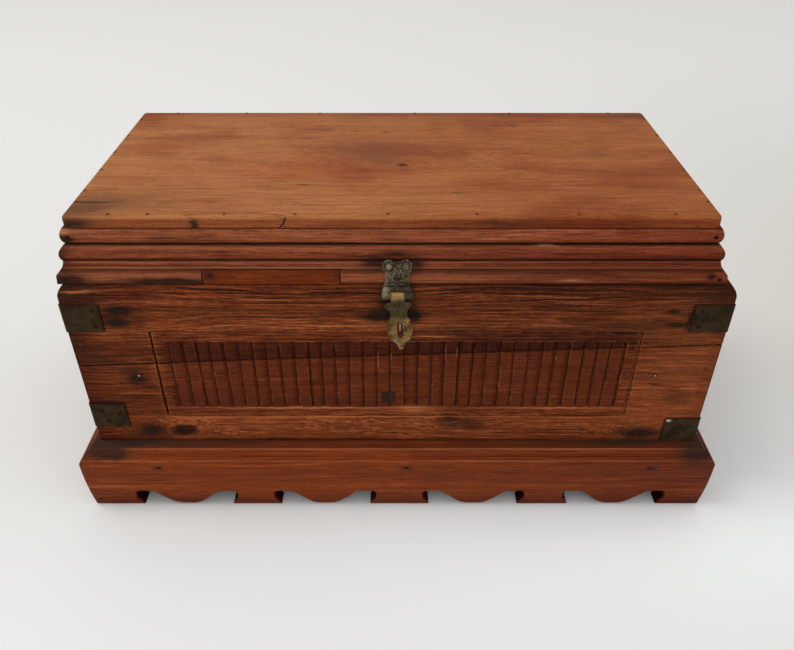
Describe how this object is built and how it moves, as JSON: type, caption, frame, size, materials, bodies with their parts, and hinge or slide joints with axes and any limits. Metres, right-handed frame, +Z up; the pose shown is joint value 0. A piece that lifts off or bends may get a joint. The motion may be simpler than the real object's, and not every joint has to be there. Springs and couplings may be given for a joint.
{
  "type": "damchiya chest",
  "caption": "Small old wooden chest on a scroll-sawn plinth, with a moulded hinged lid, a fluted panel in the front, bent brass corner brackets and a brass hasp over a staple.",
  "frame": {"origin": "centre of the footprint, on the floor", "axes": "+Z up, +X along the length, the front with its hasp faces -Y"},
  "size_m": [0.4788, 0.2508, 0.2395],
  "materials": {
    "wood_lid_board": "worn oil finish, warm brown hardwood with fine pores",
    "wood_lid_rail": "worn oil finish, darker in the hollows",
    "wood_repair": "newer, redder wood let in as a repair",
    "wood_case": "dark, dry, strongly grained and stained",
    "wood_plug": "dark plug set in end grain",
    "wood_plinth": "smooth red brown, worn satin",
    "brass_bracket": "old dark brass, tarnished",
    "brass_leaf": "tarnished, engraved",
    "brass_arm": "worn, brighter where it is handled",
    "brass_screws": "worn heads",
    "brass_hinge": "dull",
    "iron_staple": "dark forged wire",
    "iron_nails": "dark rusted heads",
    "steel_screws": "dull"
  },
  "bodies": {
    "chest": {"front_board_upper": "wood_case", "front_board_lower": "wood_case", "panel_plug": "wood_plug", "back_board": "wood_case", "left_side_board": "wood_case", "right_side_board": "wood_case", "bottom_board": "wood_case", "plinth_front": "wood_plinth", "plinth_back": "wood_plinth", "plinth_left": "wood_plinth", "plinth_right": "wood_plinth", "bracket_front_left_top": "brass_bracket", "bracket_front_left_bottom": "brass_bracket", "bracket_front_right_top": "brass_bracket", "bracket_front_right_bottom": "brass_bracket", "bracket_back_left_top": "brass_bracket", "bracket_back_left_bottom": "brass_bracket", "bracket_back_right_top": "brass_bracket", "bracket_back_right_bottom": "brass_bracket", "bracket_nails": "iron_nails", "case_corner_nails": "iron_nails", "front_board_nails": "iron_nails", "plinth_nails": "iron_nails", "staple": "iron_staple", "hinge_left_case_leaf": "brass_hinge", "hinge_right_case_leaf": "brass_hinge", "hinge_left_pin": "brass_hinge", "hinge_right_pin": "brass_hinge", "hinge_case_screws": "steel_screws"},
    "lid": {"lid_top_board": "wood_lid_board", "lid_board_graft": "wood_repair", "lid_rail_front": "wood_lid_rail", "lid_rail_back": "wood_lid_rail", "lid_rail_left": "wood_lid_rail", "lid_rail_right": "wood_lid_rail", "lid_lip_patch": "wood_repair", "lid_board_nails": "iron_nails", "rail_corner_nails": "iron_nails", "hasp_leaf": "brass_leaf", "hasp_leaf_screws": "brass_screws", "hasp_pin": "brass_arm", "hinge_left_lid_leaf": "brass_hinge", "hinge_right_lid_leaf": "brass_hinge", "hinge_lid_screws": "steel_screws"},
    "hasp_arm": {"hasp_arm": "brass_arm"}
  },
  "joints": [
    {"name": "lid_hinge", "type": "hinge", "parent": "chest", "child": "lid", "pos_m": [0, 0.1138, 0.19405], "axis": [-1, 0, 0], "range_deg": [0, 180]},
    {"name": "hasp_hinge", "type": "hinge", "parent": "lid", "child": "hasp_arm", "pos_m": [0.0002, -0.1142, 0.1902], "axis": [-1, 0, 0], "range_deg": [-13.5, 145]}
  ]
}
